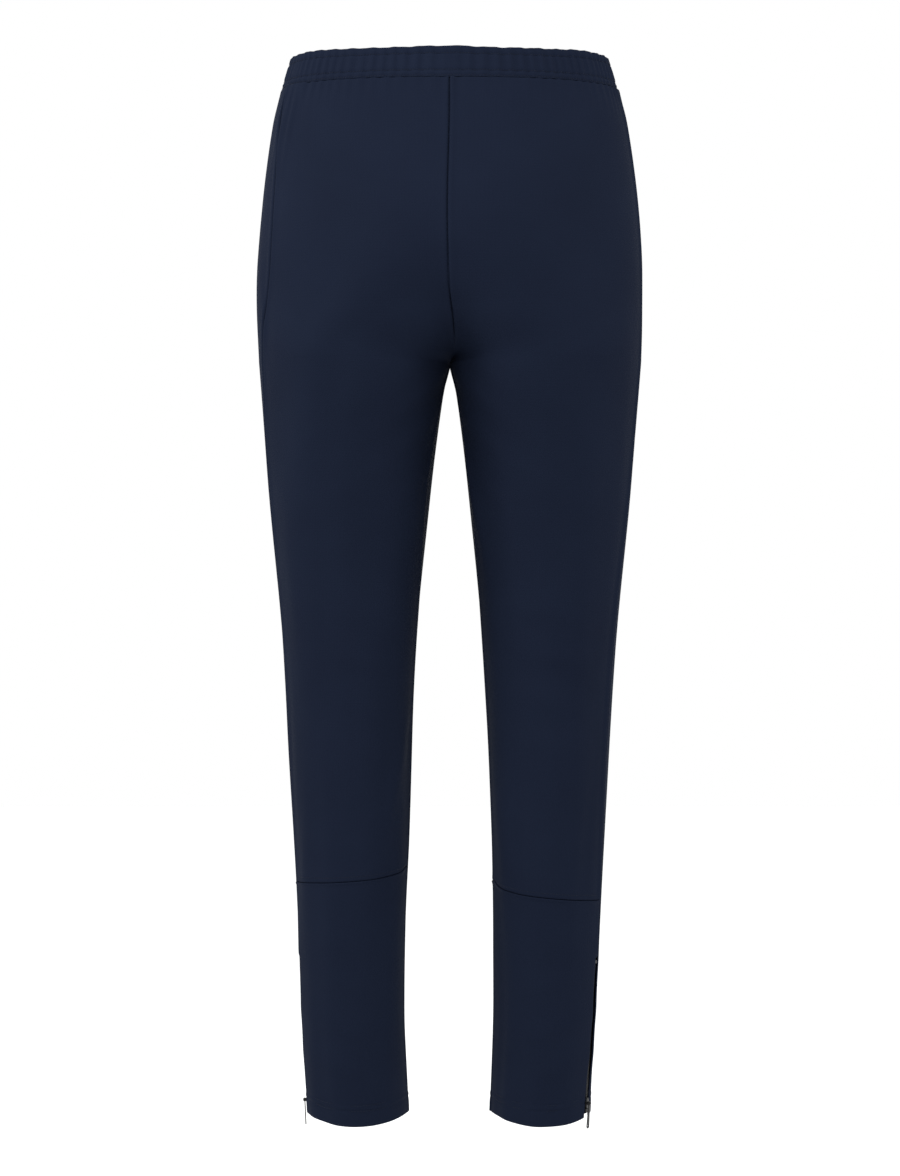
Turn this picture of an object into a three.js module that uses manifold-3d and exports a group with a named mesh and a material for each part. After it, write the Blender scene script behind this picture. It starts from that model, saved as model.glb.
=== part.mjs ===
// Tapered training trousers, hanging as they are worn: two legs, an elastic waistband,
// a coil zip up each ankle and a zipped pocket at each hip.
// Millimetres. +Z is up, the seat faces -Y, the wearer's left leg is on -X.
// The origin is the middle of the waist opening, level with the top edge of the band at the back.
import * as THREE from 'three';
import { mergeVertices } from 'three/addons/utils/BufferGeometryUtils.js';
import Module from 'manifold-3d';

const wasm = await Module();
wasm.setup();

// ---------------------------------------------------------------- driving dimensions
const rise = 292;                 // top of the band down to the crotch point
const legLength = 718;            // crotch point down to the hem at the side seam
const hemDip = 7;                 // how much lower the hem hangs at the heel
const frontDip = 15;              // how much lower the band sits at the front

const waistHalf = { width: 153, depth: 84 };
const hipHalf = { width: 184, depth: 128 };
const crotchHalf = { width: 183, depth: 112 };
const thighHalf = { width: 78, depth: 92 };
const kneeHalf = { width: 64, depth: 74 };
const calfHalf = { width: 53.5, depth: 62 };
const hemHalf = { width: 48, depth: 52 };

const cloth = 1.2;                // knitted shell fabric
const seamGap = 0.6;              // daylight left between two cloth edges in a seam
const clearance = 0.3;            // between pieces that lie on each other

const bandHeight = 30;
const bandChannel = 3.2;          // room between the two leaves of the band
const elastic = { height: 24, thickness: 1.6 };
const calfSeam = { atInseam: 222, atSide: 205 };   // heights above the hem

const ankleZipLength = 150;
const pocketZipLength = 130;
const pocketZipDrop = 100;        // top of the pocket zip, below the top of the band
const pocketZipForward = 30;      // degrees in front of the hip's widest line
const zipSlot = 8.4;              // cloth edge to cloth edge over a zip
const tape = { width: 12, thickness: 0.6, sunk: 1.2 };
const coil = { width: 1.5, thickness: 1.3 };
const postSlot = 1.4;             // gap between the two rows of coil, for the slider's post
const stop = { width: 2, length: 3, fromEnd: 3 };
const slider = { width: 7, length: 10, plate: 0.9, post: 0.8 };
const pull = { width: 5.6, length: 24, thickness: 1, neck: 3 };
const axle = { radius: 0.7, boss: 1.7, length: 4.6 };

const pocketBag = { behind: 14, forward: 92, length: 185, thickness: 1.2, room: 4.6 };
const label = { width: 34, height: 22, thickness: 0.5 };
const eyelet = { bore: 2.2, barrel: 2.9, flange: 5, lip: 0.4, spacing: 40 };

// ---------------------------------------------------------------- materials
const navyKnit = { color: 0x1d2330, roughness: 0.85, metalness: 0 };
const navyMesh = { color: 0x1a202c, roughness: 0.9, metalness: 0 };
const wovenElastic = { color: 0x2a2d33, roughness: 0.8, metalness: 0 };
const wovenTape = { color: 0x0b0c10, roughness: 0.7, metalness: 0 };
const nylonCoil = { color: 0x08090c, roughness: 0.4, metalness: 0 };
const darkMetal = { color: 0x3a3d42, roughness: 0.35, metalness: 0.9 };
const satinLabel = { color: 0xd8dade, roughness: 0.6, metalness: 0 };

// ---------------------------------------------------------------- the body form
// Every measure is a smooth line down the garment through a few stations.
const hemDrop = rise + legLength;
const highHip = 0.226 * rise;
const hip = 0.6507 * rise;
const upperThigh = rise + 0.0487 * legLength;
const thigh = rise + 0.1825 * legLength;
const knee = rise + 0.3844 * legLength;
const upperCalf = rise + 0.5515 * legLength;
const calf = rise + 0.6518 * legLength;
const ankle = rise + 0.8538 * legLength;

function line(stations) {
  const last = stations.length - 1;
  const slope = stations.map((_, i) => {
    const [before, after] = [stations[Math.max(i - 1, 0)], stations[Math.min(i + 1, last)]];
    return (after[1] - before[1]) / (after[0] - before[0]);
  });
  return (drop) => {
    let i = 0;
    while (i < last - 1 && drop > stations[i + 1][0]) i += 1;
    const [[d0, v0], [d1, v1]] = [stations[i], stations[i + 1]];
    const span = d1 - d0;
    const t = THREE.MathUtils.clamp((drop - d0) / span, 0, 1);
    const ease = t * t * (3 - 2 * t);
    const bow = t * (1 - t) * ((1 - t) * slope[i] - t * slope[i + 1]);
    return v0 + (v1 - v0) * ease + span * bow;
  };
}

const trunkHalfWidth = line([
  [0, waistHalf.width], [highHip, 170.5], [hip, hipHalf.width], [rise, crotchHalf.width]]);
const legGap = line([[rise, 0], [upperThigh, 6.8], [thigh, 18.3], [knee, 32.5],
  [calf, 41], [ankle, 44.3], [hemDrop, 40.3]]);
const legHalfWidth = line([[rise, crotchHalf.width / 2], [upperThigh, 87],
  [thigh, thighHalf.width], [knee, kneeHalf.width], [calf, calfHalf.width], [ankle, 48.5],
  [hemDrop, hemHalf.width]]);
const halfDepth = line([[0, waistHalf.depth], [highHip, 104], [hip, hipHalf.depth],
  [rise, crotchHalf.depth], [thigh, thighHalf.depth], [knee, kneeHalf.depth],
  [calf, calfHalf.depth], [ankle, 53.5], [hemDrop, hemHalf.depth]]);
const middle = line([[0, 0], [hip, -6], [rise, 0], [thigh, 8], [knee, 10], [calf, -6],
  [ankle, -12], [hemDrop, -10]]);

// One half of the garment at a drop below the waist: an oval whose centre moves out from the
// middle plane as the trunk divides into legs. Above the crotch the middle plane cuts it.
const divide = [0.74, 26];        // how fast the two ovals part: near the crotch, higher up
const squareness = 0.4;           // of the waist's oval, fading to none at the crotch
function section(drop) {
  const roundness = 2 + squareness * THREE.MathUtils.clamp(1 - drop / rise, 0, 1);
  const shared = { depth: halfDepth(drop), y: middle(drop), roundness };
  if (drop >= rise) {
    const width = legHalfWidth(drop);
    return { ...shared, centre: legGap(drop) + width, width, cut: 0 };
  }
  const above = Math.min(1, (rise - drop) / (rise - bandHeight));
  const ratio = above < 1 ? Math.exp(-divide[0] * above - divide[1] * above ** 2) : 0;
  const width = trunkHalfWidth(drop) / (1 + ratio);
  return { ...shared, centre: ratio * width, width, cut: Math.acos(ratio ** (roundness / 2)) };
}

// side is -1 or +1. The angle runs from the inseam (0) over the back (a quarter turn) and the
// outside of the leg (half a turn) to the front (three quarters).
const power = (value, exponent) => Math.sign(value) * Math.abs(value) ** exponent;
function surface(side, angle, drop) {
  const s = section(drop);
  const out = s.centre - s.width * power(Math.cos(angle), 2 / s.roundness);
  const y = s.y - s.depth * power(Math.sin(angle), 2 / s.roundness);
  return new THREE.Vector3(side * (out + seamGap / 2), y, -drop);
}
const probe = 0.02;
function outward(side, angle, drop) {
  const round = surface(side, angle + probe, drop).sub(surface(side, angle - probe, drop));
  const down = surface(side, angle, drop + 1).sub(surface(side, angle, drop - 1));
  return round.cross(down).multiplyScalar(-side).normalize();
}
function inside(side, angle, drop, depth) {
  return surface(side, angle, drop).addScaledVector(outward(side, angle, drop), -depth);
}
function perMillimetre(side, angle, drop) {
  const chord = surface(side, angle + probe, drop).distanceTo(surface(side, angle - probe, drop));
  return (2 * probe) / chord;
}

// ---------------------------------------------------------------- seam lines
const radians = THREE.MathUtils.degToRad;
const halfTurn = Math.PI;
// The legs hang slightly turned, so the side seam runs behind the widest line of the leg.
const legs = [
  { name: 'left', side: -1, turn: line([[0, 20], [hip, 25], [upperThigh, 20.5], [upperCalf, 8],
    [hemDrop, 4]]) },
  { name: 'right', side: 1, turn: line([[0, 8], [hip, 8], [upperThigh, 13], [knee, 22],
    [hemDrop - ankleZipLength, 22], [hemDrop, 29]]) },
];
const inseamTurn = line([[rise, 0], [upperThigh, 10], [thigh, 20], [knee, 8], [hemDrop, 4]]);
const sideAngle = (leg, drop) => halfTurn - radians(leg.turn(drop));
const inseamAngle = (drop) => (drop > rise ? radians(inseamTurn(drop)) : 0);

const frontDrop = (angle) => frontDip * Math.max(0, -Math.sin(angle)) ** 2;
const heelDrop = (angle) => hemDip * Math.max(0, Math.sin(angle)) ** 2;
function calfSeamDrop(across) {
  return hemDrop - THREE.MathUtils.lerp(calfSeam.atInseam, calfSeam.atSide, Math.sqrt(across));
}

// ---------------------------------------------------------------- making solids
function mesh(name, geometry, material) {
  const result = new THREE.Mesh(geometry, new THREE.MeshStandardMaterial(material));
  result.name = name;
  return result;
}

function facingOut(geometry) {
  const position = geometry.attributes.position;
  const index = geometry.index.array;
  const corner = (i) => new THREE.Vector3().fromBufferAttribute(position, index[i]);
  let sum = 0;
  for (let i = 0; i < index.length; i += 3) sum += corner(i).dot(corner(i + 1).cross(corner(i + 2)));
  if (sum > 0) return geometry;
  for (let i = 0; i < index.length; i += 3) [index[i], index[i + 1]] = [index[i + 1], index[i]];
  return geometry;
}

// Moves every point of a geometry to where(x, y, z).
function moved(geometry, where) {
  const position = geometry.attributes.position;
  for (let i = 0; i < position.count; i += 1) {
    const point = where(position.getX(i), position.getY(i), position.getZ(i));
    position.setXYZ(i, point.x, point.y, point.z);
  }
  return facingOut(geometry);
}

// A divided board bent to where(across, through, down), each from 0 to 1; through 1 is outside.
// Both its faces are split along the same diagonals, which keeps its thickness even.
function bent(columns, rows, where) {
  const board = new THREE.BoxGeometry(1, 1, 1, columns, 1, rows);
  const { start, count } = board.groups[3];
  for (let i = start; i < start + count; i += 6) {
    const [a, b, d, , c] = board.index.array.subarray(i, i + 6);
    board.index.array.set([a, b, c, a, c, d], i);
  }
  return moved(board, (x, y, z) => where(x + 0.5, y + 0.5, 0.5 - z));
}

function solid(geometry) {
  const bare = geometry.clone();
  bare.deleteAttribute('normal');
  bare.deleteAttribute('uv');
  const merged = mergeVertices(bare, 1e-4);
  return new wasm.Manifold(new wasm.Mesh({
    numProp: 3,
    vertProperties: new Float32Array(merged.attributes.position.array),
    triVerts: new Uint32Array(merged.index.array),
  }));
}
function shape(manifold) {
  const result = manifold.getMesh();
  const geometry = new THREE.BufferGeometry();
  geometry.setAttribute('position', new THREE.BufferAttribute(result.vertProperties, 3));
  geometry.setIndex(new THREE.BufferAttribute(result.triVerts, 1));
  return geometry;
}
function box([x0, x1], [y0, y1], [z0, z1]) {
  const geometry = new THREE.BoxGeometry(Math.abs(x1 - x0), y1 - y0, z1 - z0);
  return geometry.translate((x0 + x1) / 2, (y0 + y1) / 2, (z0 + z1) / 2);
}

// ---------------------------------------------------------------- leg panels
// Rows of a panel crowd together near the crotch, where the cloth turns most.
const panelColumns = 12;
const trunkRows = 14;
const topRow = bandHeight + seamGap;
const trunkDrop = (row) => rise - (rise - topRow) * (1 - row / trunkRows) ** 1.6;
const thighRows = 10;
const calfRows = 6;
const legDrop = (row, end) => rise + (end - rise) * (row / thighRows) ** 1.3;

// The angles of a panel's two edges, each half a seam gap away from its seam line.
function edges(leg, first, last) {
  return (drop) => {
    const [start, end] = [first(drop), last(drop)];
    return [start + (seamGap / 2) * perMillimetre(leg.side, start, drop),
      end - (seamGap / 2) * perMillimetre(leg.side, end, drop)];
  };
}
// Cloth between two edges, from the waist down to the calf seam and on by lowerRows to the hem.
function panel(leg, angles, seamDrop, lowerRows) {
  const seamRow = trunkRows + thighRows;
  const rows = seamRow + lowerRows;
  return bent(panelColumns, rows, (across, through, down) => {
    const row = down * rows;
    const seam = seamDrop(across);
    let drop = trunkDrop(Math.min(row, trunkRows));
    if (row > trunkRows) drop = legDrop(row - trunkRows, seam);
    if (row > seamRow) drop = THREE.MathUtils.lerp(seam, hemDrop, (row - seamRow) / lowerRows);
    const level = THREE.MathUtils.lerp(...angles(drop), across);
    drop += frontDrop(level) * THREE.MathUtils.clamp(1 - (drop - topRow) / hip, 0, 1);
    const angle = THREE.MathUtils.lerp(...angles(drop), across);
    return inside(leg.side, angle, drop, (1 - through) * cloth);
  });
}
function backPanel(leg) {
  const inner = (drop) => Math.max(section(drop).cut, inseamAngle(drop));
  const angles = edges(leg, inner, (drop) => sideAngle(leg, drop));
  return panel(leg, angles, (across) => calfSeamDrop(across) - seamGap / 2, 0);
}
function frontPanel(leg) {
  const inner = (drop) => 2 * halfTurn - section(drop).cut + inseamAngle(drop);
  const angles = edges(leg, (drop) => sideAngle(leg, drop), inner);
  return panel(leg, angles, (across) => calfSeamDrop(1 - across) - seamGap / 2, calfRows);
}
function calfPanel(leg) {
  const angles = edges(leg, inseamAngle, (drop) => sideAngle(leg, drop));
  return bent(panelColumns, calfRows, (across, through, down) => {
    const top = calfSeamDrop(across) + seamGap / 2;
    const bottomAngle = THREE.MathUtils.lerp(...angles(hemDrop), across);
    const drop = THREE.MathUtils.lerp(top, hemDrop + heelDrop(bottomAngle), down);
    const angle = THREE.MathUtils.lerp(...angles(drop), across);
    return inside(leg.side, angle, drop, (1 - through) * cloth);
  });
}

// ---------------------------------------------------------------- zips
// A zip's own frame: z runs up the chain, y points out of the cloth, x across the chain.
// Its line is straight from one point of the cloth to another, so that the slider can run.
function zipFrame(leg, low, high) {
  const a = surface(leg.side, low.angle, low.drop);
  const b = surface(leg.side, high.angle, high.drop);
  const up = b.clone().sub(a).normalize();
  const normal = outward(leg.side, (low.angle + high.angle) / 2, (low.drop + high.drop) / 2);
  const out = normal.addScaledVector(up, -normal.dot(up)).normalize();
  // Where the cloth hollows by more than the tape is sunk, the line sinks by the difference.
  let hollow = 0;
  for (let t = 0.1; t < 1; t += 0.1) {
    const drop = THREE.MathUtils.lerp(low.drop, high.drop, t);
    const point = surface(leg.side, THREE.MathUtils.lerp(low.angle, high.angle, t), drop);
    hollow = Math.max(hollow, -point.sub(a).dot(out));
  }
  const sink = Math.max(0, hollow + clearance - tape.sunk);
  const matrix = new THREE.Matrix4().makeBasis(out.clone().cross(up), out, up)
    .setPosition(a.clone().addScaledVector(out, -sink));
  return { leg, low, high, matrix, inverse: matrix.clone().invert(), length: a.distanceTo(b) };
}
const sliver = 0.05;               // edges shorter than this, left by a cut, are closed up
function slotCutter(zip, below) {
  const reach = 14;
  const geometry = box([-zipSlot / 2, zipSlot / 2], [-reach, reach], [-below, zip.length]);
  return solid(geometry.applyMatrix4(zip.matrix));
}

// Levels in a zip's frame, counted from the cloth's outer face.
const tapeFace = -cloth - tape.sunk;
const coilBase = tapeFace + clearance;
const coilTop = coilBase + coil.thickness;
const plateUnder = coilTop + clearance;
const plateTop = plateUnder + slider.plate;
const backPlateTop = tapeFace - tape.thickness - clearance;
const axleLevel = plateTop + axle.boss + 0.1;
const rowEdge = postSlot / 2 + coil.width;
const sewnEdge = zipSlot / 2 + 1.5;

// The angle at which the cloth, at a height up the zip, lies a distance across its line.
function angleBeside(zip, height, across) {
  const drop = THREE.MathUtils.lerp(zip.low.drop, zip.high.drop, height);
  let angle = THREE.MathUtils.lerp(zip.low.angle, zip.high.angle, height);
  for (let i = 0; i < 4; i += 1) {
    const off = surface(zip.leg.side, angle, drop).applyMatrix4(zip.inverse).x - across;
    angle += zip.leg.side * off * perMillimetre(zip.leg.side, angle, drop);
  }
  return { drop, angle };
}

// One tape: straight beside the coil, following the cloth where it is sewn under it.
function zipTape(zip, hand) {
  const stations = [postSlot / 2, zipSlot / 2, sewnEdge, tape.width];
  const columns = stations.length - 1;
  const overlap = 6;
  return bent(columns, 12, (across, through, down) => {
    const column = Math.round(across * columns);
    const z = THREE.MathUtils.lerp(zip.length + overlap, 1, down);
    const depth = (1 - through) * tape.thickness - tapeFace;
    const { angle, drop } = angleBeside(zip, z / zip.length, hand * stations[column]);
    const sewn = inside(zip.leg.side, angle, drop, depth);
    if (column > 1) return sewn;
    // At the slot's edges the straight part goes no nearer to the cloth than the rest.
    const atEdge = column === 1 || z > zip.length;
    const level = atEdge ? Math.min(-depth, sewn.applyMatrix4(zip.inverse).y) : -depth;
    return new THREE.Vector3(hand * stations[column], level, z).applyMatrix4(zip.matrix);
  });
}
function coilRow(zip, hand, from, to) {
  const geometry = box([hand * postSlot / 2, hand * rowEdge], [coilBase, coilTop], [from, to]);
  return geometry.applyMatrix4(zip.matrix);
}
function stopClip(zip, hand, from) {
  const inner = postSlot / 2;
  const geometry = box([hand * inner, hand * (inner + stop.width)],
    [coilBase, plateUnder + slider.plate / 2], [from, from + stop.length]);
  return geometry.applyMatrix4(zip.matrix);
}
function barStop(zip, from) {
  const geometry = box([-rowEdge, rowEdge], [coilBase, plateUnder + slider.plate / 2],
    [from, from + stop.length]);
  return geometry.applyMatrix4(zip.matrix);
}

// The slider: a face plate and a back plate joined by a thin post between the rows of coil,
// with two lugs and a pin that carry the pull. The post is at its wide, leading end.
function sliderBody(lead) {
  const [half, end] = [slider.width / 2, slider.length / 2];
  const outline = new THREE.Shape([[half - 1.2, -end], [half, -end + 2.5], [half - 0.6, end - 1.5],
    [half - 1.8, end]].map(([x, z]) => new THREE.Vector2(x, z)).concat(
    [[1.8 - half, end], [0.6 - half, end - 1.5], [-half, -end + 2.5], [1.2 - half, -end]]
      .map(([x, z]) => new THREE.Vector2(x, z))));
  const plate = new THREE.ExtrudeGeometry(outline, { depth: slider.plate, bevelEnabled: false });
  plate.rotateX(halfTurn / 2);
  const pieces = [
    plate.clone().translate(0, plateTop, 0),
    plate.clone().translate(0, backPlateTop, 0),
    box([-slider.post / 2, slider.post / 2], [backPlateTop - 0.3, plateTop - 0.2],
      [1 - end, 4 - end]),
    new THREE.CylinderGeometry(axle.radius, axle.radius, axle.length, 12)
      .rotateZ(halfTurn / 2).translate(0, axleLevel, 0),
  ];
  for (const hand of [-1, 1]) {
    const inner = hand * (pull.neck / 2 + clearance);
    pieces.push(box([inner, inner + hand * 0.8], [plateTop - 0.2, axleLevel + 0.9], [-1.2, 1.2]));
  }
  const body = pieces.map(solid).reduce((sum, piece) => sum.add(piece));
  return shape(body).applyMatrix4(new THREE.Matrix4().makeRotationY(lead < 0 ? 0 : halfTurn));
}

// The pull: a flat tongue with an eye round the slider's pin and a round, pierced end.
function pullTab() {
  const neck = pull.neck / 2;
  const broad = pull.width / 2;
  const end = pull.length - broad;
  const outline = new THREE.Shape();
  outline.moveTo(neck, axle.boss / 2);
  outline.lineTo(-neck, axle.boss / 2);
  outline.lineTo(-neck, -3.2);
  outline.lineTo(-broad, -end);
  outline.absarc(0, -end, broad, halfTurn, 2 * halfTurn, false);
  outline.lineTo(neck, -3.2);
  outline.closePath();
  const opening = new THREE.Path();
  opening.absarc(0, -end, broad - 1.3, 0, 2 * halfTurn, true);
  outline.holes.push(opening);
  const options = { depth: pull.thickness, bevelEnabled: false, curveSegments: 8 };
  const tongue = new THREE.ExtrudeGeometry(outline, options);
  tongue.rotateX(halfTurn / 2).translate(0, pull.thickness / 2, 0);
  const round = (radius, length) => new THREE.CylinderGeometry(radius, radius, length, 14)
    .rotateZ(halfTurn / 2);
  const eye = solid(round(axle.boss, pull.neck));
  const bore = solid(round(axle.radius + clearance, 2 * pull.neck));
  return shape(solid(tongue).add(eye).subtract(bore));
}

const trousers = new THREE.Group();
trousers.userData.joints = [];

// lead is -1 where the zip closes downwards (ankle) and +1 where it closes upwards (pocket).
function addZip(name, zip, lead) {
  const part = (piece, geometry, material) => trousers.add(mesh(`${name}_${piece}`, geometry, material));
  const nearEnd = stop.fromEnd + stop.length + 0.5;
  const closedEnd = lead < 0 ? 0 : zip.length;
  const openEnd = zip.length - closedEnd;
  const clips = closedEnd - lead * stop.fromEnd - (lead > 0 ? stop.length : 0);
  const bar = openEnd + lead * stop.fromEnd - (lead < 0 ? stop.length : 0);
  const low = Math.min(clips, bar) + stop.length + clearance;
  const high = Math.max(clips, bar) - clearance;
  const hands = [['front', zip.leg.side], ['rear', -zip.leg.side]];
  hands.forEach(([place, hand]) => {
    part(`tape_${place}`, zipTape(zip, hand), wovenTape);
    part(`coil_${place}`, coilRow(zip, hand, low, high), nylonCoil);
    part(`stop_${place}`, stopClip(zip, hand, clips), darkMetal);
  });
  part('stop_bar', barStop(zip, bar), darkMetal);
  const rest = closedEnd - lead * (nearEnd + slider.length / 2);
  const travel = zip.length - 2 * (nearEnd + slider.length / 2);
  const place = new THREE.Matrix4().makeTranslation(0, 0, rest);
  const pinPlace = new THREE.Matrix4().makeTranslation(0, axleLevel, rest);
  part('slider', sliderBody(lead).applyMatrix4(place).applyMatrix4(zip.matrix), darkMetal);
  part('pull', pullTab().applyMatrix4(pinPlace).applyMatrix4(zip.matrix), darkMetal);
  const direction = (x, z) => new THREE.Vector3(x, 0, z).transformDirection(zip.matrix).toArray();
  const pin = new THREE.Vector3(0, axleLevel, rest).applyMatrix4(zip.matrix).toArray();
  trousers.userData.joints.push(
    { name: `${name}_slider`, axis: direction(0, -lead), travel },
    { name: `${name}_pull`, axis: direction(1, 0), pin },
  );
}

legs.forEach((leg) => {
  const at = (drop) => ({ drop, angle: sideAngle(leg, drop) });
  const ankleZip = zipFrame(leg, at(hemDrop), at(hemDrop - ankleZipLength));
  const angle = halfTurn + radians(pocketZipForward);
  const low = { drop: pocketZipDrop + pocketZipLength, angle };
  const pocketZip = zipFrame(leg, low, { drop: pocketZipDrop, angle });

  const ankleSlot = slotCutter(ankleZip, 3 * hemDip);
  const front = solid(frontPanel(leg)).subtract(ankleSlot).subtract(slotCutter(pocketZip, 0))
    .simplify(sliver);
  const lower = solid(calfPanel(leg)).subtract(ankleSlot).simplify(sliver);
  trousers.add(mesh(`back_panel_${leg.name}`, backPanel(leg), navyKnit));
  trousers.add(mesh(`front_panel_${leg.name}`, shape(front), navyKnit));
  trousers.add(mesh(`calf_panel_${leg.name}`, shape(lower), navyKnit));
  addZip(`ankle_zip_${leg.name}`, ankleZip, -1);
  addZip(`pocket_zip_${leg.name}`, pocketZip, 1);

  // The pocket bag lies flat behind the cloth and stands off behind the zip, for the hand
  // and for the slider's back plate.
  const bagDepth = -tapeFace + tape.thickness + clearance;
  const stations = [-pocketBag.behind, -10, -5, 0, 5, 10, 14, 50, pocketBag.forward];
  const columns = stations.length - 1;
  const bag = bent(columns, 8, (across, through, down) => {
    const forward = stations[Math.round(across * columns)];
    const drop = pocketZipDrop - 8 + down * pocketBag.length;
    const standOff = Math.abs(forward) < 8 ? pocketBag.room : 0;
    const turned = angle + forward * perMillimetre(leg.side, angle, drop);
    return inside(leg.side, turned, drop, bagDepth + standOff + (1 - through) * pocketBag.thickness);
  });
  trousers.add(mesh(`pocket_bag_${leg.name}`, bag, navyMesh));
});

// ---------------------------------------------------------------- waistband
// A point of the band: turn runs once round from the middle of the back.
function onBand(turn, height, depth) {
  const wrapped = THREE.MathUtils.euclideanModulo(turn, 2 * halfTurn);
  const side = wrapped < halfTurn ? 1 : -1;
  const angle = halfTurn / 2 + (side > 0 ? wrapped : 2 * halfTurn - wrapped);
  const drop = height + frontDrop(angle);
  const point = inside(side, angle, drop, depth);
  return point.setX(point.x - (side * seamGap) / 2);
}
// A closed profile of [depth, height] points carried once round the waist.
function hoop(profile) {
  const core = 100;
  const points = [...profile, profile[0]].map(([d, h]) => new THREE.Vector2(core - d, -h));
  const lathe = new THREE.LatheGeometry(points, 72);
  return moved(lathe, (x, y, z) => onBand(Math.atan2(z, x), -y, core - Math.hypot(x, z)));
}
const innerLeaf = cloth + bandChannel;
const bandDepth = innerLeaf + cloth;
const foldRadius = 1.2;
const leaves = hoop([
  [0, foldRadius], [0, bandHeight], [cloth, bandHeight], [cloth, cloth + 0.2],
  [innerLeaf, cloth + 0.2], [innerLeaf, bandHeight], [bandDepth, bandHeight],
  [bandDepth, foldRadius], [bandDepth - foldRadius, 0], [foldRadius, 0]]);
const eyeletHeight = bandHeight / 2;
const eyeletFrames = [-1, 1].map((hand) => {
  const turn = halfTurn + hand * (eyelet.spacing / 2) / waistHalf.width;
  const point = onBand(turn, eyeletHeight, innerLeaf + cloth / 2);
  const out = onBand(turn, eyeletHeight, 0).sub(point).normalize();
  const across = new THREE.Vector3().crossVectors(out, new THREE.Vector3(0, 0, 1)).normalize();
  const up = new THREE.Vector3().crossVectors(across, out);
  return new THREE.Matrix4().makeBasis(across, out, up).setPosition(point);
});
const drilled = eyeletFrames.reduce((band, frame) => {
  const holeRadius = eyelet.barrel + clearance;
  const drill = new THREE.CylinderGeometry(holeRadius, holeRadius, 2 * cloth, 16);
  return band.subtract(solid(drill.applyMatrix4(frame)));
}, solid(leaves));
trousers.add(mesh('waistband', shape(drilled), navyKnit));

const elasticTop = (bandHeight - elastic.height) / 2;
const elasticFace = cloth + clearance;
trousers.add(mesh('waist_elastic', hoop([
  [elasticFace, elasticTop], [elasticFace, elasticTop + elastic.height],
  [elasticFace + elastic.thickness, elasticTop + elastic.height],
  [elasticFace + elastic.thickness, elasticTop]]), wovenElastic));

// Two eyelets through the inner leaf, where a draw cord would come out.
const lipFace = cloth / 2 + clearance;
const eyeletProfile = [[eyelet.bore, -lipFace - eyelet.lip], [eyelet.flange, -lipFace - eyelet.lip],
  [eyelet.flange, -lipFace], [eyelet.barrel, -lipFace], [eyelet.barrel, lipFace],
  [eyelet.flange, lipFace], [eyelet.flange, lipFace + eyelet.lip],
  [eyelet.bore, lipFace + eyelet.lip], [eyelet.bore, -lipFace - eyelet.lip]];
eyeletFrames.forEach((frame, i) => {
  const points = eyeletProfile.map(([r, y]) => new THREE.Vector2(r, y));
  const ring = facingOut(new THREE.LatheGeometry(points, 20));
  trousers.add(mesh(`cord_eyelet_${legs[i].name}`, ring.applyMatrix4(frame), darkMetal));
});

// The care label, blank, sewn inside the back of the band.
const labelReach = label.width / waistHalf.width;
const labelSheet = bent(6, 2, (across, through, down) => {
  const height = bandHeight - label.height - 2 + down * label.height;
  const depth = bandDepth + clearance + (1 - through) * label.thickness;
  return onBand((across - 0.5) * labelReach, height, depth);
});
trousers.add(mesh('care_label', labelSheet, satinLabel));

export default trousers;
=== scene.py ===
"""Tapered navy training trousers, seen from behind and held up at the waist.

The file follows the garment as it is sewn: the cloth form and its panels first, then the
waistband, the stitching, the zips, and last what the frame already holds.
"""
import math

import bmesh
import bpy
from mathutils import Matrix, Vector, noise


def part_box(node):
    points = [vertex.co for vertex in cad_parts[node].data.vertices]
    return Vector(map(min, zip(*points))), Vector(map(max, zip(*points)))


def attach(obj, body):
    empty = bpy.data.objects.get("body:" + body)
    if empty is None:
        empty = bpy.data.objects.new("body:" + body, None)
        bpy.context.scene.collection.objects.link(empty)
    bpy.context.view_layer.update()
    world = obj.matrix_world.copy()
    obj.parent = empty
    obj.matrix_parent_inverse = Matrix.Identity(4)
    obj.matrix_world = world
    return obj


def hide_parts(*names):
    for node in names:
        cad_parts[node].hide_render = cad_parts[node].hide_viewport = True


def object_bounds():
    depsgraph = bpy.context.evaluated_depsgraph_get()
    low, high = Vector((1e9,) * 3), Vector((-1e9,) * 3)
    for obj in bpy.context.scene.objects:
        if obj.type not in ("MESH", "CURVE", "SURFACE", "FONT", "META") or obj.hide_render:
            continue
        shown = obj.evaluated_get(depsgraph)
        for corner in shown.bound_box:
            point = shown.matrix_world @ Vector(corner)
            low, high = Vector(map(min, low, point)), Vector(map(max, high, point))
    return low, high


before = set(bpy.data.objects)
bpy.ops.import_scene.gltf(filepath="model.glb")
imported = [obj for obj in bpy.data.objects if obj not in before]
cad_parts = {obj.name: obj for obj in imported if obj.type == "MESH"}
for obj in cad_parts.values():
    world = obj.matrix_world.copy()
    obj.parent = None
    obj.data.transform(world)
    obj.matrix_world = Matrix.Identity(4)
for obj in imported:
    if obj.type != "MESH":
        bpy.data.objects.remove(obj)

cad_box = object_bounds()


# ---------------------------------------------------------------- camera, light and floor
# A level camera three metres behind the wearer, half way up the garment. The light is a soft
# white studio: white all round, with a large lamp high on each side and a smaller one high in
# front, so that the legs grow darker towards the hems and towards each other.
cad_low, cad_high = cad_box
distance = 3.0
frame_height = 1.1337
middle_height = (cad_low.z + cad_high.z) / 2 + 0.0035

camera_data = bpy.data.cameras.new("camera")
camera_data.sensor_width = 36.0
camera_data.lens = camera_data.sensor_width * distance / frame_height
camera = bpy.data.objects.new("camera", camera_data)
camera.location = (0.0004, -distance, middle_height)
camera.rotation_euler = (math.radians(90), 0, 0)
bpy.context.scene.collection.objects.link(camera)
bpy.context.scene.camera = camera
bpy.context.scene.view_settings.view_transform = "Standard"


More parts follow.
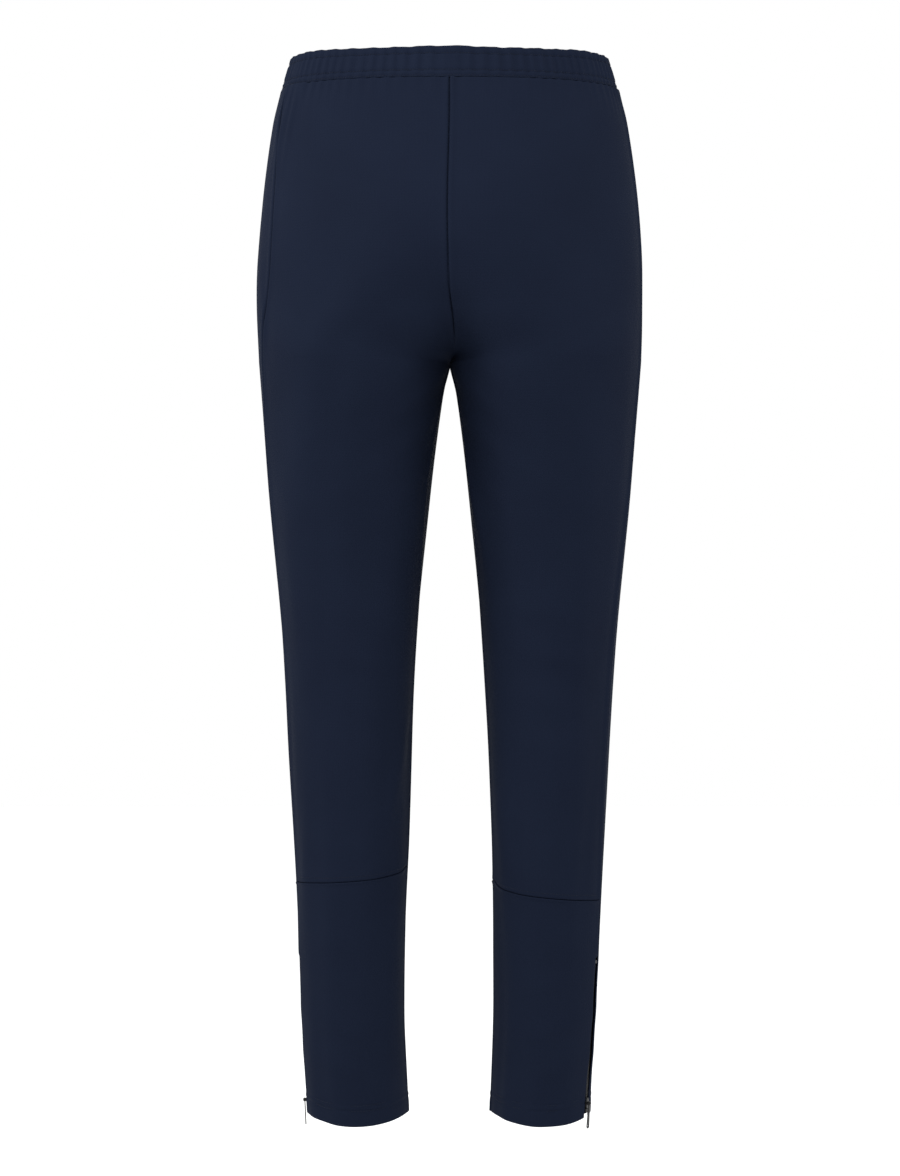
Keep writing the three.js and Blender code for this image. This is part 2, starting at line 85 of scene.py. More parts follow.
def area_light(name, place, size, watts):
    data = bpy.data.lights.new(name, "AREA")
    data.size = size
    data.energy = watts
    light = bpy.data.objects.new(name, data)
    light.location = place
    aim = Vector((0, 0, middle_height)) - light.location
    light.rotation_euler = aim.to_track_quat("-Z", "Y").to_euler()
    bpy.context.scene.collection.objects.link(light)


area_light("left_light", (-1.5, -0.6, 0.6), 0.8, 30)
area_light("right_light", (1.5, -0.7, 0.6), 0.8, 18)
area_light("top_light", (-0.2, -1.0, 0.6), 0.7, 7)

world = bpy.data.worlds.new("studio")
world.use_nodes = True
world.node_tree.nodes["Background"].inputs["Color"].default_value = (1, 1, 1, 1)
world.node_tree.nodes["Background"].inputs["Strength"].default_value = 1.0
bpy.context.scene.world = world


def linear(hex_colour):
    """A colour written as sRGB hex, as linear red, green, blue and alpha."""
    parts = [int(hex_colour[i:i + 2], 16) / 255 for i in (1, 3, 5)]
    return [p / 12.92 if p < 0.04045 else ((p + 0.055) / 1.055) ** 2.4 for p in parts] + [1.0]


def feed(node, inputs):
    """Sets a node's inputs; each is either a value or the output socket that feeds it."""
    for key, value in inputs.items():
        if isinstance(value, bpy.types.NodeSocket):
            node.id_data.links.new(value, node.inputs[key])
        else:
            node.inputs[key].default_value = value


def add_node(tree, kind, inputs, **settings):
    made = tree.nodes.new(kind)
    for name, value in settings.items():
        setattr(made, name, value)
    feed(made, inputs)
    return made


def new_material(name):
    material = bpy.data.materials.new(name)
    material.use_nodes = True
    return material, material.node_tree, material.node_tree.nodes["Principled BSDF"]


def object_from(name, bm, material):
    """Makes the finished bmesh an object at the origin."""
    mesh = bpy.data.meshes.new(name)
    bm.to_mesh(mesh)
    bm.free()
    mesh.materials.append(material)
    for face in mesh.polygons:
        face.use_smooth = True
    made = bpy.data.objects.new(name, mesh)
    bpy.context.scene.collection.objects.link(made)
    return made


def lay_flat(bm, spots):
    """Maps the cloth: spots gives each vertex its place on the cloth before it is sewn."""
    cloth_map = bm.loops.layers.uv.new("cloth")
    for face in bm.faces:
        for loop in face.loops:
            loop[cloth_map].uv = spots[loop.vert]


def thicken(piece, thickness, offset=0, rounded=False):
    wall = piece.modifiers.new("thickness", "SOLIDIFY")
    wall.thickness = thickness
    wall.offset = offset
    if rounded:
        round_edges = piece.modifiers.new("round_edges", "SUBSURF")
        round_edges.levels = 1
        round_edges.render_levels = 1


floor_drop = 0.12
floor_mesh = bmesh.new()
bmesh.ops.create_grid(floor_mesh, x_segments=1, y_segments=1, size=6)
bmesh.ops.translate(floor_mesh, vec=(0, 0, cad_low.z - floor_drop), verts=floor_mesh.verts)
paper, _, paper_shader = new_material("matt_white_paper")
feed(paper_shader, {
    "Base Color": linear("#E6E6E6"), "Roughness": 0.9, "Emission Color": linear("#FFFFFF"),
    "Emission Strength": 0.26})
object_from("studio_floor", floor_mesh, paper)


# ---------------------------------------------------------------- the hanging form
# The shape the cloth hangs in on a wearer. Every measure is a smooth line down the garment.
# The angle runs from the inseam over the seat, the outside of the leg and the front.
rise = 0.292
hem_drop = round(-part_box("front_panel_left")[0].z, 3)
band_height = 0.030
front_dip = 0.015
heel_dip = 0.007
leg_length = hem_drop - rise
hip = 0.190
upper_thigh, thigh, knee, upper_calf, calf, ankle = (
    rise + share * leg_length for share in (0.0487, 0.1825, 0.3844, 0.5515, 0.6518, 0.8538))


def line(*stations):
    last = len(stations) - 1

    def slope(i):
        before, after = stations[max(i - 1, 0)], stations[min(i + 1, last)]
        return (after[1] - before[1]) / (after[0] - before[0])

    slopes = [slope(i) for i in range(last + 1)]

    def at(drop):
        i = 0
        while i < last - 1 and drop > stations[i + 1][0]:
            i += 1
        (d0, v0), (d1, v1) = stations[i], stations[i + 1]
        span = d1 - d0
        t = min(max((drop - d0) / span, 0), 1)
        bow = t * (1 - t) * ((1 - t) * slopes[i] - t * slopes[i + 1])
        return v0 + (v1 - v0) * t * t * (3 - 2 * t) + span * bow

    return at


trunk_half_width = line((0, 0.153), (0.066, 0.1705), (hip, 0.184), (rise, 0.183))
leg_gap = line((rise, 0), (upper_thigh, 0.0068), (thigh, 0.0183), (knee, 0.0325),
               (calf, 0.041), (ankle, 0.0443), (hem_drop, 0.0403))
leg_half_width = line((rise, 0.0915), (upper_thigh, 0.087), (thigh, 0.078), (knee, 0.064),
                      (calf, 0.0535), (ankle, 0.0485), (hem_drop, 0.048))
half_depth = line((0, 0.084), (0.066, 0.104), (hip, 0.128), (rise, 0.112), (thigh, 0.092),
                  (knee, 0.074), (calf, 0.062), (ankle, 0.0535), (hem_drop, 0.052))
middle_line = line((0, 0), (hip, -0.006), (rise, 0), (thigh, 0.008), (knee, 0.010),
                   (calf, -0.006), (ankle, -0.012), (hem_drop, -0.010))
parting = (0.74, 26)


def section(drop):
    """Centre, half width, half depth, middle, roundness and the angle of the middle plane."""
    roundness = 2 + 0.4 * min(max(1 - drop / rise, 0), 1)
    if drop >= rise:
        width = leg_half_width(drop)
        return leg_gap(drop) + width, width, half_depth(drop), middle_line(drop), roundness, 0.0
    above = min(1, (rise - drop) / (rise - band_height))
    ratio = math.exp(-parting[0] * above - parting[1] * above**2) if above < 1 else 0.0
    width = trunk_half_width(drop) / (1 + ratio)
    cut = math.acos(ratio ** (roundness / 2))
    return ratio * width, width, half_depth(drop), middle_line(drop), roundness, cut


def form(side, angle, drop):
    centre, width, depth, middle, roundness, _ = section(drop)
    c, s = math.cos(angle), math.sin(angle)
    out = centre - width * math.copysign(abs(c) ** (2 / roundness), c)
    y = middle - depth * math.copysign(abs(s) ** (2 / roundness), s)
    return Vector((side * out, y, -drop))


probe = 0.02


def outward(side, angle, drop):
    round_leg = form(side, angle + probe, drop) - form(side, angle - probe, drop)
    down_leg = form(side, angle, drop + 0.001) - form(side, angle, drop - 0.001)
    return (round_leg.cross(down_leg) * -side).normalized()


def radians_per_metre(side, angle, drop):
    chord = (form(side, angle + probe, drop) - form(side, angle - probe, drop)).length
    return 2 * probe / chord


# ---------------------------------------------------------------- seam lines and drape
# The legs hang slightly turned, so each side seam runs behind the widest line of the leg.
# The drape is what the cloth adds to the form: slack, drag lines and small pulls at seams.
side_turn = {
    -1: line((0, 20), (hip, 25), (upper_thigh, 20.5), (upper_calf, 8), (hem_drop, 4)),
    1: line((0, 8), (hip, 8), (upper_thigh, 13), (knee, 22), (hem_drop - 0.15, 22),
            (hem_drop, 29)),
}
inseam_turn = line((rise, 0), (upper_thigh, 10), (thigh, 20), (knee, 8), (hem_drop, 4))
calf_seam_heights = {-1: (0.235, 0.221), 1: (0.222, 0.205)}


def side_seam(side, drop):
    return math.pi - math.radians(side_turn[side](drop))


def inseam(drop):
    return math.radians(inseam_turn(drop)) if drop > rise else 0.0


def calf_seam(side, across):
    start, end = calf_seam_heights[side]
    return hem_drop - (start + (end - start) * math.sqrt(across))


def bump(value, centre, reach):
    return math.exp(-(((value - centre) / reach) ** 2))


def drape(side, angle, drop):
    """How far the cloth stands off the form, outwards, in metres."""
    turn = math.degrees(angle)
    # Slack: long shallow waves that run down the leg and wander a little.
    wander = noise.noise(Vector((side * 3.1, turn / 40, drop * 5)))
    waves = noise.noise(Vector((side * 7.7 + turn / 24, drop * 2.4, wander)))
    loose = min(max((drop - 0.05) / 0.2, 0), 1)
    off = 0.0022 * waves * loose
    # Drag lines that fan out from the crotch over the seat of each leg.
    if drop > 0.2:
        fan = drop - rise - (turn - 25) * 0.0011
        for shift, size in ((0.015, 0.0016), (0.055, 0.0013), (0.105, 0.0009)):
            off += size * bump(fan, shift, 0.011) * bump(turn, 38, 34)
    # Below the seat the cloth hangs straight down instead of following the body in.
    off += 0.0045 * bump(drop, rise + 0.012, 0.042) * bump(turn, 58, 30)
    # Soft creases behind the knee, stronger on the inner side.
    for shift, size in ((-0.035, 0.0010), (0.005, 0.0014), (0.048, 0.0011), (0.09, 0.0008)):
        slant = drop - knee - shift - (turn - 90) * 0.00022 * side
        off += size * bump(slant, 0, 0.010) * bump(turn, 70 + 20 * side, 42)
    # Break of the cloth over the ankle.
    for shift, size in ((-0.05, 0.0008), (-0.09, 0.0010), (-0.135, 0.0007)):
        slant = drop - hem_drop - shift + (turn - 120) * 0.0002
        off += size * bump(slant, 0, 0.009) * bump(turn, 110, 60)
    # Short pulls under the band beside the left side seam.
    if side < 0 and drop < 0.12:
        for start, size in ((147.5, 0.0020), (152.5, 0.0024), (157.5, 0.0018)):
            pull = turn - start - (drop - 0.03) * 50
            off += size * bump(pull, 0, 1.9) * min(1, max(0, (0.125 - drop) / 0.05))
    # A soft fold beside the left side seam, with a sharp rear edge over the hip.
    if side < 0 and 0.15 < drop < 0.33:
        reach = bump(drop, 0.235, 0.05)
        edge = turn - 158 + 120 * (drop - 0.235)
        off += 0.0022 * reach / (1 + math.exp(-edge * 1.6)) * bump(turn, 160, 22)
    # The inner thigh of the right leg turns over in one narrow standing fold.
    if side > 0 and rise + 0.03 < drop < rise + 0.22:
        edge = turn - 20 - 90 * (drop - rise - 0.09)
        off += 0.0032 * bump(edge, 0, 5) * bump(drop, rise + 0.13, 0.05)
    # One diagonal fold on the inner side of the left calf.
    if side < 0 and knee < drop < hem_drop - 0.12:
        edge = turn - 30 - 260 * (drop - rise - 0.37)
        off += 0.0020 * bump(edge, 0, 9) * bump(drop, rise + 0.39, 0.05)
    # Gathers that run out of the elastic and fade.
    if drop < 0.09:
        metres = turn * 0.0028
        ripple = math.sin(metres * 2 * math.pi / 0.013 + 2.5 * noise.noise(
            Vector((metres * 22, side, 0))))
        off += 0.0008 * ripple * bump(drop, band_height, 0.018)
    return off


def settle(point, drop):
    """How the seat shifts near the centre back seam, which hooks to the right at the crotch and
    sinks in on its way there."""
    if point.y > 0 or drop > rise:
        return Vector((0, 0, 0))
    near_crotch = min(1, (rise - drop) / 0.007)
    sway = 0.0048 * bump(drop, 0.281, 0.036) * near_crotch - 0.0020 * bump(drop, 0.15, 0.06)
    sink = min(max((drop - 0.12) / 0.12, 0), 1) ** 2 * min(1, (rise - drop) / 0.05)
    depth = 0.010 * sink * min(1, -point.y / 0.06)
    return Vector((sway * bump(point.x, 0, 0.035), depth * bump(point.x, 0, 0.045), 0))


def seam_profile(from_edge, allowance=0.0055):
    """A sewn edge: the seam allowance underneath lifts it, and the stitch pulls it in."""
    return 0.0009 * bump(from_edge, allowance * 0.5, allowance * 0.5) - 0.0012 * bump(
        from_edge, 0, 0.0007)


# ---------------------------------------------------------------- knitted shell cloth
# Polyester interlock, brushed inside and dyed navy: matt, with a soft bloom at grazing angles.
# Its wales are 0.7 mm apart on the real cloth and drawn at twice that so that they show.
def knit_material(name, colour, pale, pitch):
    material, tree, shader = new_material(name)
    cloth_map = add_node(tree, "ShaderNodeUVMap", {}, uv_map="cloth").outputs["UV"]
    stretched = add_node(tree, "ShaderNodeMapping", {
        "Vector": cloth_map, "Scale": (1 / pitch, 1 / pitch, 1)}).outputs["Vector"]
    axes = add_node(tree, "ShaderNodeSeparateXYZ", {"Vector": stretched}).outputs
    wale = add_node(tree, "ShaderNodeMath", {0: axes["X"], 1: 1.0}, operation="PINGPONG")
    chevron = add_node(tree, "ShaderNodeMath", {0: wale.outputs[0], 1: 0.9, 2: axes["Y"]},
                       operation="MULTIPLY_ADD")
    course = add_node(tree, "ShaderNodeMath", {0: chevron.outputs[0], 1: 1.0},
                      operation="PINGPONG")
    rib = add_node(tree, "ShaderNodeMath", {0: wale.outputs[0], 1: course.outputs[0]},
                   operation="MULTIPLY")
    fibre = add_node(tree, "ShaderNodeTexNoise", {
        "Vector": cloth_map, "Scale": 2600.0, "Detail": 2.0})
    height = add_node(tree, "ShaderNodeMath", {
        0: fibre.outputs["Fac"], 1: 0.35, 2: rib.outputs[0]}, operation="MULTIPLY_ADD")
    bumped = add_node(tree, "ShaderNodeBump", {
        "Strength": 0.32, "Distance": pitch * 0.22, "Height": height.outputs[0]})
    shade = add_node(tree, "ShaderNodeTexNoise", {
        "Vector": cloth_map, "Scale": 11.0, "Detail": 3.0})
    mixed = add_node(tree, "ShaderNodeMix", {
        "Factor": shade.outputs["Fac"], 6: linear(colour), 7: linear(pale)}, data_type="RGBA")
    feed(shader, {
        "Base Color": mixed.outputs[2], "Normal": bumped.outputs["Normal"], "Roughness": 0.78,
        "Specular IOR Level": 0.02, "Sheen Weight": 0.012, "Sheen Roughness": 0.45,
        "Sheen Tint": linear("#A9B4CC")})
    return material


navy_knit = knit_material("navy_interlock_knit", "#0F1421", "#131927", 0.0014)


# ---------------------------------------------------------------- zip lines
# Each zip runs straight between two points of the form, so that its slider can travel.
# The cloth is cut away over it by the width of the slider and a little room.
pocket_forward = math.radians(30)
pocket_top, pocket_length = 0.100, 0.130
ankle_zip_length = 0.150
slot_width = 0.0084


class ZipLine:
    """The straight line of one zip, with a frame of its own: z up the chain, y out."""

    def __init__(self, side, low, high):
        self.side = side
        start, end = form(side, *low), form(side, *high)
        up = (end - start).normalized()
        out = outward(side, (low[0] + high[0]) / 2, (low[1] + high[1]) / 2)
        out = (out - up * out.dot(up)).normalized()
        along = [form(side, low[0] + (high[0] - low[0]) * t / 10,
                      low[1] + (high[1] - low[1]) * t / 10) for t in range(1, 10)]
        hollow = max(0, max((start - point).dot(out) for point in along))
        start = start - out * max(0, hollow - 0.0009)
        self.length = (end - form(side, *low)).length
        self.matrix = Matrix.Translation(start) @ Matrix(
            (out.cross(up), out, up)).transposed().to_4x4()
        self.inverse = self.matrix.inverted()

    def local(self, point):
        return self.inverse @ point


ankle_lines = {side: ZipLine(
    side, (side_seam(side, hem_drop), hem_drop),
    (side_seam(side, hem_drop - ankle_zip_length), hem_drop - ankle_zip_length))
    for side in (-1, 1)}
pocket_lines = {side: ZipLine(
    side, (math.pi + pocket_forward, pocket_top + pocket_length),
    (math.pi + pocket_forward, pocket_top)) for side in (-1, 1)}


def cut_slot(bm, zip_line, open_below):
    """Cuts the slot over a zip: four planes through the cloth near it, then what is inside."""
    half = slot_width / 2
    low_end = -0.03 if open_below else 0.0
    sides = [((half, 0, 0), (1, 0, 0)), ((-half, 0, 0), (-1, 0, 0)),
             ((0, 0, zip_line.length), (0, 0, 1)), ((0, 0, low_end), (0, 0, -1))]

    def near(point, margin):
        p = zip_line.local(point)
        return (abs(p.x) < half + margin and abs(p.y) < 0.02
                and low_end - margin < p.z < zip_line.length + margin)

    for place, normal in sides:
        faces = [f for f in bm.faces if near(f.calc_center_median(), 0.012)]
        around = list({v for f in faces for v in f.verts})
        lines = list({e for f in faces for e in f.edges})
        bmesh.ops.bisect_plane(
            bm, geom=faces + lines + around, dist=1e-6,
            plane_co=zip_line.matrix @ Vector(place),
            plane_no=zip_line.matrix.to_3x3() @ Vector(normal))
    inside = [f for f in bm.faces if near(f.calc_center_median(), -1e-5)]
    bmesh.ops.delete(bm, geom=inside, context="FACES")


def beside_slot(zip_line, point, open_below):
    """How far a point of the cloth lies from the slot's edge, or a large number."""
    p = zip_line.local(point)
    if abs(p.y) > 0.02 or p.z > zip_line.length + 0.02 or p.z < -0.03:
        return 1.0
    across = abs(p.x) - slot_width / 2
    above = p.z - zip_line.length
    below = -1.0 if open_below else -p.z
    outside = (max(across, 0), max(above, below, 0))
    return math.hypot(*outside)


# ---------------------------------------------------------------- leg panels
# Six panels cut from the shell cloth: two backs, two fronts and two calves. Their edges are
# overlocked together; the hem is turned up and stitched twice.
cloth_thickness = 0.0009
edge_steps = (0.0, 0.0007, 0.0015, 0.0027, 0.0045, 0.0070, 0.0105)
hem_rows = (0.0145, 0.0195)


def spread(count, power=1.0):
    return [(i / count) ** power for i in range(count + 1)]


def hem_profile(height):
    """Height above the hem: the turn-up stands out a little and its rows of stitch sink in."""
    lift = 0.0005 * min(1, max(0, (hem_rows[1] + 0.002 - height) / 0.002))
    return lift - sum(0.0006 * bump(height, row, 0.0010) for row in hem_rows)


def cloth_panel(name, side, start, end, top, bottom, columns, rows, zips, is_hem):
    """One panel: a grid laid on the form between two seam lines, cut, then draped.

    rows are pairs of a kind (from the top edge, trunk, leg, from the bottom edge) and a value.
    """
    nx, ny = len(columns) - 1, len(rows) - 1
    bm = bmesh.new()
    bmesh.ops.create_grid(bm, x_segments=nx, y_segments=ny, size=0.5)
    layers = {key: bm.verts.layers.float.new(key)
              for key in ("angle", "drop", "from_start", "from_end", "from_top", "from_bottom")}
    margin = edge_steps[-1]

    def drop_at(kind, value, across):
        high, low = top(across), bottom(across)
        if kind == "top":
            return high + value
        if kind == "bottom":
            return low - value
        if kind == "trunk":
            return rise - (rise - high - margin) * (1 - value)
        if kind == "leg":
            return rise + (low - margin - rise) * value
        return high + margin + (low - high - 2 * margin) * value

    def angle_at(column, drop):
        first, last = start(drop), end(drop)
        width = (last - first) / radians_per_metre(side, (first + last) / 2, drop)
        kind, value = column
        if kind == "start":
            return first + value * radians_per_metre(side, first, drop), value, width - value
        if kind == "end":
            return last - value * radians_per_metre(side, last, drop), width - value, value
        inner_first = first + margin * radians_per_metre(side, first, drop)
        inner_last = last - margin * radians_per_metre(side, last, drop)
        run = margin + value * (width - 2 * margin)
        return inner_first + (inner_last - inner_first) * value, run, width - run

    across_of = {"start": 0.0, "end": 1.0}
    for vert in bm.verts:
        column = columns[round((vert.co.x + 0.5) * nx)]
        kind, value = rows[round((0.5 - vert.co.y) * ny)]
        across = across_of.get(column[0], column[1])
        drop = drop_at(kind, value, across)
        angle, from_start, from_end = angle_at(column, drop)
        fade = min(max(1 - (drop - band_height) / hip, 0), 1)
        dip = front_dip * max(0, -math.sin(angle)) ** 2 * fade
        if is_hem:
            heel = max(0, math.sin(angle)) ** 2 * heel_dip
            dip += heel * min(max((drop - hem_drop + 0.2) / 0.2, 0), 1)
        drop += dip
        angle = angle_at(column, drop)[0]
        vert.co = form(side, angle, drop)
        values = (angle, drop, from_start, from_end, drop - dip - top(across),
                  bottom(across) + dip - drop)
        for key, amount in zip(layers, values):
            vert[layers[key]] = amount
    lay_flat(bm, {vert: (vert[layers["from_start"]], vert[layers["drop"]]) for vert in bm.verts})

    for zip_line, open_below in zips:
        cut_slot(bm, zip_line, open_below)
    for vert in bm.verts:
        angle, drop = vert[layers["angle"]], vert[layers["drop"]]
        off = drape(side, angle, drop)
        off += seam_profile(vert[layers["from_start"]]) + seam_profile(vert[layers["from_end"]])
        if is_hem:
            off += hem_profile(vert[layers["from_bottom"]])
        if name.startswith("back"):
            off += 0.3 * seam_profile(vert[layers["from_bottom"]])
            if side > 0:
                off += 0.0011 * bump(vert[layers["from_end"]], 0.0035, 0.0030)
        elif name.startswith("calf"):
            off += 0.0009 * bump(vert[layers["from_top"]], 0.0012, 0.0014)
        if not name.startswith("calf"):
            off += 0.25 * seam_profile(vert[layers["from_top"]])
        for zip_line, open_below in zips:
            gap = beside_slot(zip_line, vert.co, open_below)
            off -= 0.0009 * bump(gap, 0, 0.0012)
        vert.co += outward(side, angle, drop) * off
        vert.co += settle(vert.co, drop)
    bmesh.ops.recalc_face_normals(bm, faces=bm.faces)
    return object_from(name, bm, navy_knit)


def finish_cloth(piece, outside_point):
    """Turns the face of the cloth outwards and gives it its thickness and round edges."""
    mesh = piece.data
    face = min(mesh.polygons, key=lambda f: (f.center - outside_point).length)
    if face.normal.dot(outside_point - face.center) < 0:
        mesh.flip_normals()
    thicken(piece, cloth_thickness, -1, True)


edge_columns = [("start", d) for d in edge_steps[:-1]]
other_edge = [("end", d) for d in reversed(edge_steps[:-1])]


def columns_of(count, power=1.0):
    """Columns from edge to edge; a power above 1 crowds them towards the last edge."""
    return edge_columns + [("inner", 1 - f) for f in reversed(spread(count, power))] + other_edge


top_rows = [("top", d) for d in edge_steps[:-1]]
bottom_rows = [("bottom", d) for d in reversed(edge_steps[:-1])]
hem_edge = [("bottom", d) for d in (0.022, 0.0205, 0.0195, 0.0185, 0.017, 0.0155, 0.0145,
                                    0.0135, 0.011, 0.008, 0.005, 0.0025, 0.001, 0.0)]
trunk_rows = [("trunk", 1 - (1 - f) ** 1.4) for f in spread(48)]
leg_rows = [("leg", f) for f in spread(84, 1.15)][1:]
seam_gap = 0.00005

for side, word in ((-1, "left"), (1, "right")):
    def seat_edge(drop, side=side):
        return max(section(drop)[5], inseam(drop)) + seam_gap * radians_per_metre(side, 0.5, drop)

    def back_side(drop, side=side):
        seam = side_seam(side, drop)
        return seam - seam_gap * radians_per_metre(side, seam, drop)

    def front_side(drop, side=side):
        seam = side_seam(side, drop)
        return seam + seam_gap * radians_per_metre(side, seam, drop)

    def front_edge(drop, side=side):
        seam = 2 * math.pi - section(drop)[5] + inseam(drop)
        return seam - seam_gap * radians_per_metre(side, 0.5, drop)

    band_edge = band_height + 0.0001
    back = cloth_panel(
        f"back_panel_{word}_cloth", side, seat_edge, back_side, lambda a: band_edge,
        lambda a, side=side: calf_seam(side, a) - seam_gap, columns_of(52, 1.5),
        top_rows + trunk_rows + leg_rows + bottom_rows, [], False)
    front = cloth_panel(
        f"front_panel_{word}_cloth", side, front_side, front_edge, lambda a: band_edge,
        lambda a: hem_drop, columns_of(38),
        top_rows + trunk_rows + [("leg", f) for f in spread(118, 1.12)][1:-3] + hem_edge,
        [(ankle_lines[side], True), (pocket_lines[side], False)], True)
    lower = cloth_panel(
        f"calf_panel_{word}_cloth", side, seat_edge, back_side,
        lambda a, side=side: calf_seam(side, a) + seam_gap,
        lambda a: hem_drop, columns_of(24),
        top_rows + [("plain", f) for f in spread(34)][:-2] + hem_edge,
        [(ankle_lines[side], True)], True)
    for piece, node, flat, area in (
            (back, f"back_panel_{word}", (0.30, 0.79), 0.156),
            (front, f"front_panel_{word}", (0.36, 0.99), 0.248),
            (lower, f"calf_panel_{word}", (0.18, 0.23), 0.032)):
        finish_cloth(piece, Vector((side * 0.1, -3.0 if node[0] != "f" else 3.0, -0.5)))
        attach(piece, "root")
        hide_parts(node)


# ---------------------------------------------------------------- seam allowances
# Behind every seam the overlocked edges lie flat to one side: a 10 mm strip of the same cloth,
# which also keeps daylight from showing through.
allowance_width = 0.010


def allowance_strip(bm, side, place, count, lengthwise):
    """A strip along a seam; place(t) gives the seam's angle and drop, t from 0 to 1."""
    made = bmesh.ops.create_grid(bm, x_segments=4, y_segments=count, size=0.5)["verts"]
    spots = {}
    for vert in made:
        across, t = vert.co.x * allowance_width, vert.co.y + 0.5
        angle, drop = place(t)
        if lengthwise:
            angle += across * radians_per_metre(side, angle, drop)
        else:
            drop += across
        off = drape(side, angle, drop) - 0.0019
        vert.co = form(side, angle, drop) + outward(side, angle, drop) * off
        spots[vert] = (angle * 0.07, drop) if lengthwise else (t * 0.15, across)
    return spots


def between(low, high, t):
    return low + (high - low) * t


allowances = bmesh.new()
spots = {}
band_edge = band_height + 0.001
for side in (-1, 1):
    side_end, leg_end = hem_drop - ankle_zip_length - 0.012, hem_drop - 0.004

    def at_side(t, side=side, side_end=side_end):
        drop = between(band_edge, side_end, t)
        return side_seam(side, drop), drop

    def at_inseam(t, leg_end=leg_end):
        drop = between(rise + 0.004, leg_end, t)
        return inseam(drop), drop

    def at_calf(t, side=side):
        drop = calf_seam(side, t)
        start, end = inseam(drop), side_seam(side, drop)
        return between(start, end, between(0.02, 0.97, t)), drop

    spots.update(allowance_strip(allowances, side, at_side, 240, True))
    spots.update(allowance_strip(allowances, side, at_inseam, 220, True))
    spots.update(allowance_strip(allowances, side, at_calf, 40, False))
# The crotch seam runs from the band at the back, under the body and up to the band in front.
made = bmesh.ops.create_grid(allowances, x_segments=4, y_segments=260, size=0.5)["verts"]
for vert in made:
    t, across = vert.co.y + 0.5, vert.co.x * allowance_width
    back = t < 0.5
    share = 2 * t if back else 2 - 2 * t
    drop = between(band_edge + (0 if back else front_dip), rise - 0.0001, 1 - (1 - share) ** 2)
    cut = section(drop)[5]
    angle = cut if back else 2 * math.pi - cut
    normal = outward(1, angle, drop)
    normal.x = 0
    inner = form(1, angle, drop) + normal.normalized() * (drape(1, angle, drop) - 0.0021)
    vert.co = Vector((across, inner.y, inner.z))
    vert.co += settle(vert.co, drop)
    spots[vert] = (across, drop)
lay_flat(allowances, spots)
allowance = object_from("seam_allowances_cloth", allowances, navy_knit)
thicken(allowance, 0.0006)
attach(allowance, "root")


# ---------------------------------------------------------------- waistband
# One strip of shell cloth, folded over the elastic at the top edge and sewn down: an outer
# leaf, the fold, and an inner leaf. The elastic draws it into gathers, and it is plain over
# the short stretch beside the left side seam where the elastic's ends overlap.
channel = 0.0032
metres_per_radian = 0.125
leaf_gap = channel + 0.0012
band_rows = (0.0072, 0.0232, 0.0286)


def on_band(turn, height, depth):
    """A point of the band: turn runs once round from the middle of the back."""
    wrapped = turn % (2 * math.pi)
    side = 1 if wrapped < math.pi else -1
    angle = math.pi / 2 + (wrapped if side > 0 else 2 * math.pi - wrapped)
    drop = height + front_dip * max(0, -math.sin(angle)) ** 2
    return form(side, angle, drop) - outward(side, angle, drop) * depth


def gather(turn, height):
    """The puckers of the band, in metres outwards: deep over the elastic, none at the seam."""
    metres = turn * metres_per_radian
    steady = noise.noise(Vector((metres * 30, 0.7, 4.2)))
    ripple = math.sin(metres * 2 * math.pi / 0.0088 + 2.2 * steady)
    ripple += 0.55 * noise.noise(Vector((metres * 210, height * 40, 1.3)))
    from_back_left = abs((turn - math.radians(292) + math.pi) % (2 * math.pi) - math.pi)
    plain = min(1, max(0, (from_back_left - 0.055) / 0.05))
    fullness = 0.55 + 0.45 * noise.noise(Vector((metres * 9, 5.1, 0.2)))
    mid_band = math.sin(math.pi * min(1, max(0, (height + 0.002) / 0.034)))
    from_seam = abs((turn + math.pi) % (2 * math.pi) - math.pi)
    return 0.0013 * ripple * plain * fullness * (0.35 + 0.65 * mid_band) * min(
        1, from_seam / 0.05)


def band_wave(turn):
    """How much higher the top edge stands here: a gathered edge is never quite straight."""
    place = Vector((3.1 * math.cos(turn), 3.1 * math.sin(turn), 0.4))
    wave = 0.0009 * noise.noise(place) + 0.0003 * math.sin(turn * 41)
    from_middle = abs((turn + math.pi) % (2 * math.pi) - math.pi)
    return wave + 0.0011 * bump(from_middle, 0.9, 0.3) + 0.0010 * bump(from_middle, 0, 0.15)


across_band = [(0.0002, band_height), (0, 0.0297)]
across_band += [(0, h / 1000) for h in (
    29.2, 28.6, 28.0, 26.5, 25, 23.8, 23.2, 22.6, 21, 18.5, 16, 13.5, 11, 9, 7.9, 7.2, 6.5, 5,
    3.4, 2.0)]
across_band += [(leaf_gap / 2 * (1 - math.cos(a)), 0.0012 - 0.0012 * math.sin(a) ** 0.8)
                for a in (math.pi * i / 8 for i in range(9))]
across_band += [(leaf_gap, h / 1000) for h in (3, 7.2, 12, 18, 23.2, 28.6, 30)]

